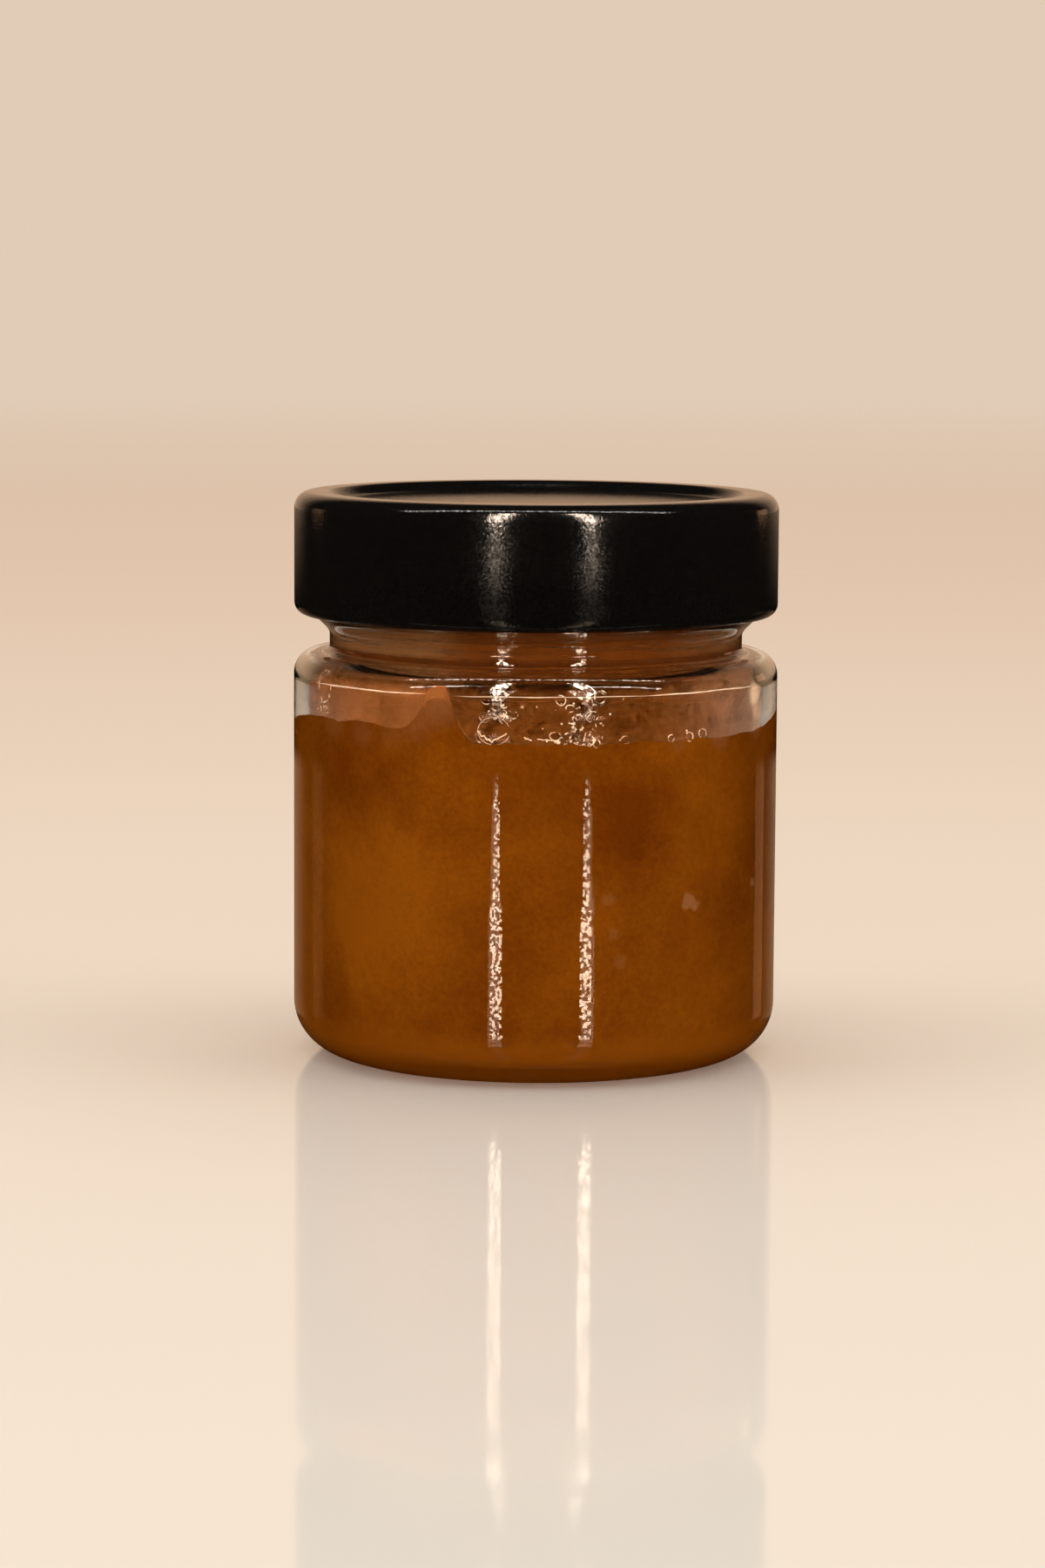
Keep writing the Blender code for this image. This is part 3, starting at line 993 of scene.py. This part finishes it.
def glass_place(azimuth, height):
    """The place of a shape on the inside of the glass, its own Z towards the jar's axis."""
    middle = around(azimuth, wall_radius(height) - FILM_GAP, height)
    inwards = Vector((-middle.x, -middle.y, 0)).normalized()
    upwards = Vector((0, 0, 1))
    sideways = upwards.cross(inwards)
    turn = Matrix((sideways, upwards, inwards)).transposed().to_4x4()
    return Matrix.Translation(middle) @ turn


def add_dome(work, place, radius):
    """A small bubble."""
    flat = Matrix.Diagonal((1, 1, DOME_FLATNESS, 1))
    bmesh.ops.create_icosphere(work, subdivisions=2, radius=radius, matrix=place @ flat)


def add_burst(work, place, radius):
    """The uneven ring that is left of a large bubble."""
    tube = RING_TUBE * random.uniform(0.8, 1.3)
    squeeze = random.uniform(0.8, 1.1)
    phase = random.uniform(0, math.tau)
    rings = []
    for i in range(RING_STEPS):
        angle = math.tau * i / RING_STEPS
        wobble = 1 + 0.07 * math.sin(2 * angle + phase) + 0.04 * math.sin(3 * angle)
        ring = []
        for k in range(RING_SIDES):
            around_tube = math.tau * k / RING_SIDES
            out = radius * wobble + tube * math.cos(around_tube)
            across = out * math.cos(angle)
            along = squeeze * out * math.sin(angle)
            spot = Vector((across, along, tube * math.sin(around_tube)))
            ring.append(work.verts.new(place @ spot))
        rings.append(ring)
    join_rings(work, rings + rings[:1])


def make_bubbles():
    """Froth left on the inside of the glass above the preserve."""
    work = bmesh.new()
    for azimuth, height, radius in bubble_spots():
        if height - contact_height(azimuth) <= radius * 0.5:
            continue
        place = glass_place(azimuth, height)
        if radius > BURST_SIZE * BUBBLE_RADIUS:
            add_burst(work, place, radius * BURST_GROWTH)
        else:
            add_dome(work, place, radius * DOME_GROWTH)
    finish_on_glass(work, "froth_bubbles", bubble_material())


def add_thread(work, spots):
    """A round ridge on the inside of the glass, through spots of azimuth, height and radius."""
    places = []
    for azimuth, height, tube in spots:
        places.append(around(azimuth, wall_radius(height) - FILM_GAP - tube, height))
    rings = []
    for i, place in enumerate(places):
        along = (places[min(i + 1, len(places) - 1)] - places[max(i - 1, 0)]).normalized()
        inwards = Vector((-place.x, -place.y, 0)).normalized()
        across = along.cross(inwards)
        tube = spots[i][2]
        ring = []
        for k in range(THREAD_SIDES):
            angle = math.tau * k / THREAD_SIDES
            out = math.cos(angle) * inwards + math.sin(angle) * across
            ring.append(work.verts.new(place + tube * out))
        rings.append(ring)
    join_rings(work, rings)
    work.faces.new(rings[0])
    work.faces.new(rings[-1])


def make_highlight_ridges():
    """Thin pale ridges where the wall turns into the shoulder, their pale colour a painted
    highlight line. Each tapers out.
    """
    work = bmesh.new()
    for first, last, first_radius, last_radius in HIGHLIGHT_RIDGES:
        steps = round((last - first) / HIGHLIGHT_RIDGE_STEP)
        spots = []
        for i in range(steps + 1):
            share = i / steps
            azimuth = between(first, last, share)
            taper = min(1.0, HIGHLIGHT_RIDGE_TAPER * share, HIGHLIGHT_RIDGE_TAPER * (1 - share))
            flow = 0.8 + 0.5 * noise.noise(Vector((azimuth * 0.22, 1.7, 0.0)))
            tube = taper * flow * between(first_radius, last_radius, share)
            rise = 0.12 * MM * noise.noise(Vector((azimuth * 0.09, 0.0, 5.0)))
            spots.append((azimuth, HIGHLIGHT_RIDGE_HEIGHT + rise, max(HIGHLIGHT_RIDGE_THINNEST, tube)))
        add_thread(work, spots)
    finish_on_glass(work, "highlight_ridges", ridge_highlight_material())


def make_froth_ridges():
    """A large burst bubble and broken ridges of froth above the preserve, pale as painted glints.
    """
    work = bmesh.new()
    middle, level, reach, tube = FROTH_RING
    spots = []
    for i in range(FROTH_RING_STEPS + 1):
        turned = FROTH_RING_OPENING / 2 + (360 - FROTH_RING_OPENING) * i / FROTH_RING_STEPS
        angle = math.radians(turned)
        azimuth = middle + math.degrees(reach * math.cos(angle) / INNER_RADIUS)
        spots.append((azimuth, level + FROTH_RING_FLATNESS * reach * math.sin(angle), tube))
    add_thread(work, spots)
    for first, first_height, last, last_height, tube in FROTH_RIDGES:
        spots = []
        for i in range(RIDGE_STEPS + 1):
            share = i / RIDGE_STEPS
            bead = 0.55 + 0.9 * abs(noise.noise(Vector((first + 9 * share, 3.0, 1.0))))
            jump = 0.35 * MM * noise.noise(Vector((first + 5 * share, 0.0, 8.0)))
            height = between(first_height, last_height, share) + jump
            spots.append((between(first, last, share), height, tube * bead))
        add_thread(work, spots)
    finish_on_glass(work, "froth_ridges", ridge_highlight_material())


def make_shaded_edge():
    """The edge of the preserve where it draws back from the glass, near black as painted shade."""
    work = bmesh.new()
    first, last, tube = SHADED_EDGE
    spots = []
    for i in range(SHADED_EDGE_STEPS + 1):
        azimuth = first + (last - first) * i / SHADED_EDGE_STEPS
        taper = min(1.0, 10 * (1 - i / SHADED_EDGE_STEPS) + 0.1)
        spots.append((azimuth, contact_height(azimuth) + tube, tube * taper))
    add_thread(work, spots)
    finish_on_glass(work, "shaded_edge", shaded_edge_material())


def make_lid():
    """The pressed lid: black outside, gold inside."""
    mesh = skin("lid_pressed", turned_rows(lid_profile(), GLASS_SEGMENTS))
    result = piece("lid_pressed", mesh, [lid_material(), lid_inside_material()])
    inner_wall = LID_RADIUS - LID_WALL + MM / 100
    top_under = TOTAL_HEIGHT - LID_RECESS_DEPTH - LID_PANEL_THICKNESS / 2
    for face in mesh.polygons:
        middle = face.center
        within = math.hypot(middle.x, middle.y) < inner_wall
        face.material_index = int(within and LID_BOTTOM + MM < middle.z < top_under)
    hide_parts("lid")


# Stage


def make_floor():
    """A pale floor that fades into the backdrop. Shiny things see it as a mirror round the
    jar and as black farther out, which sets where the highlights end."""
    work = bmesh.new()
    bmesh.ops.create_circle(work, cap_ends=True, segments=128, radius=FLOOR_RADIUS)
    mesh = bpy.data.meshes.new("floor")
    work.to_mesh(mesh)
    work.free()
    floor = bpy.data.objects.new("floor", mesh)
    bpy.context.scene.collection.objects.link(floor)
    nodes = new_material("pale floor")
    nodes.set(Base_Color=FLOOR_COLOR, Roughness=0.05)
    mesh.materials.append(nodes.owner)
    middle = (0, 0, 0)
    tabletop = nodes.near(middle, FLOOR_MIRROR_REACH, FLOOR_MIRROR_REACH + FLOOR_MIRROR_FADE)
    beside = nodes.near(middle, FLOOR_MIRROR_START, FLOOR_MIRROR_START + 2 * MM)
    beside = nodes.math("MULTIPLY", beside, FLOOR_MIRROR_LOSS)
    mirrored = nodes.math("SUBTRACT", tabletop, beside)
    mirror = nodes.add("ShaderNodeBsdfGlossy")
    mirror.inputs["Roughness"].default_value = 0.02
    nodes.put(mirror.inputs["Color"], nodes.blend(mirrored, (0, 0, 0), FLOOR_MIRROR_COLOR))
    path = nodes.add("ShaderNodeLightPath").outputs
    under = nodes.near(middle, *UNDER_JAR)
    behind = nodes.spread(nodes.axis("Y"), *BEHIND_JAR)
    direct = nodes.math("MAXIMUM", under, behind)
    seen_through = nodes.math("MULTIPLY", path["Is Transmission Ray"], direct)
    scattered = nodes.math("GREATER_THAN", path["Diffuse Depth"], 0.5)
    reflected = nodes.math("SUBTRACT", path["Is Glossy Ray"], seen_through)
    reflected = nodes.spread(nodes.math("SUBTRACT", reflected, scattered), 0.0, 1.0)
    surface = nodes.mixed_shaders(reflected, nodes.shader.outputs[0], mirror.outputs[0])
    clear = nodes.add("ShaderNodeBsdfTransparent").outputs[0]
    nodes.surface(nodes.mixed_shaders(nodes.near(middle, *FLOOR_FADE), clear, surface))


def area_light(name, low, high, width, radiance, color):
    """A lamp that runs from its low end to its high end and faces the jar."""
    low, high = Vector(low), Vector(high)
    middle = (low + high) / 2
    along = (high - low).normalized()
    across = along.cross(middle - Vector((0, 0, TOTAL_HEIGHT / 2))).normalized()
    away = across.cross(along)
    data = bpy.data.lights.new(name, "AREA")
    data.shape = "RECTANGLE"
    data.size = width
    data.size_y = (high - low).length
    data.energy = radiance * math.pi * data.size * data.size_y
    data.color = color
    light = bpy.data.objects.new(name, data)
    bpy.context.scene.collection.objects.link(light)
    turn = Matrix((across, along, away)).transposed()
    light.matrix_world = Matrix.Translation(middle) @ turn.to_4x4()
    light.visible_camera = False
    return light


def reflected_lamp(*settings):
    """A lamp that only shows in what is shiny."""
    area_light(*settings).visible_diffuse = False


def soft_lamp(*settings):
    """A lamp that only lights, and shows in nothing."""
    light = area_light(*settings)
    light.visible_glossy = False
    light.visible_transmission = False


def make_lights():
    """Lamps that only reflect, for the highlights, and lamps that only light."""
    for side, azimuth in STRIP_AZIMUTHS.items():
        foot = around(azimuth, *STRIP_LOW)
        top = around(azimuth, *STRIP_HIGH)
        for first, last, width in STRIP_SECTIONS:
            low = foot.lerp(top, first)
            high = foot.lerp(top, last)
            reflected_lamp("strip_" + side, low, high, width, STRIP_RADIANCE, STRIP_COLOR)
        for name, low_end, high_end, width, radiance in SHORT_STRIPS:
            low = around(azimuth, *low_end)
            high = around(azimuth, *high_end)
            reflected_lamp(name + side, low, high, width, radiance, STRIP_COLOR)
    reflected_lamp(
        "overhead_line", *OVERHEAD_LINE, OVERHEAD_LINE_WIDTH, OVERHEAD_LINE_RADIANCE, LAMP_COLOR
    )
    for side, azimuth in RIM_AZIMUTHS.items():
        low = around(azimuth, *RIM_LOW)
        high = around(azimuth, *RIM_HIGH)
        reflected_lamp("rim_" + side, low, high, RIM_WIDTH, RIM_RADIANCE[side], RIM_COLOR)
    for side, azimuth in SIDE_SOFT_AZIMUTHS.items():
        low = around(azimuth, *SIDE_SOFT_LOW)
        high = around(azimuth, *SIDE_SOFT_HIGH)
        soft_lamp("side_soft_" + side, low, high, SIDE_SOFT_WIDTH, SIDE_SOFT_RADIANCE, LAMP_COLOR)
    soft_lamp("top_soft", *TOP_SOFT, TOP_SOFT_WIDTH, TOP_SOFT_RADIANCE, LAMP_COLOR)


def make_world():
    """The light round the jar: a pale backdrop behind it, a dark room in front of it for
    reflections, and an even light on everything that isn't shiny."""
    world = bpy.data.worlds.new("studio")
    bpy.context.scene.world = world
    nodes = Nodes(world, "Generated")
    path = nodes.add("ShaderNodeLightPath").outputs
    behind = nodes.spread(nodes.axis("Y"), *BACKDROP_EDGES, smooth=True)
    mirrored = nodes.blend(behind, ROOM_COLOR, MIRRORED_BACKDROP)
    through = nodes.blend(behind, ROOM_THROUGH_GLASS, BACKDROP_THROUGH_GLASS)
    sharp = nodes.blend(path["Is Transmission Ray"], mirrored, through)
    scattered = nodes.math("GREATER_THAN", path["Diffuse Depth"], 0.5)
    shiny = nodes.blend(path["Is Glossy Ray"], AMBIENT_COLOR, sharp)
    light = nodes.blend(scattered, shiny, AMBIENT_COLOR)
    shown = nodes.blend(path["Is Camera Ray"], light, BACKDROP_COLOR)
    nodes.put(nodes.tree.nodes["Background"].inputs["Color"], shown)


def make_camera():
    data = bpy.data.cameras.new("camera")
    data.lens = CAMERA_LENS
    data.clip_start = 0.01
    data.clip_end = 20.0
    camera = bpy.data.objects.new("camera", data)
    bpy.context.scene.collection.objects.link(camera)
    pitch = Matrix.Rotation(math.pi / 2 - CAMERA_PITCH, 4, "X")
    roll = Matrix.Rotation(CAMERA_ROLL, 4, "Z")
    camera.matrix_world = Matrix.Translation(CAMERA_PLACE) @ (pitch @ roll)
    bpy.context.scene.camera = camera


random.seed(SEED)
make_camera()
make_glass()
make_preserve()
make_film()
make_bubbles()
make_highlight_ridges()
make_froth_ridges()
make_shaded_edge()
make_lid()
make_floor()
make_lights()
make_world()
bpy.context.scene.view_settings.view_transform = "Standard"
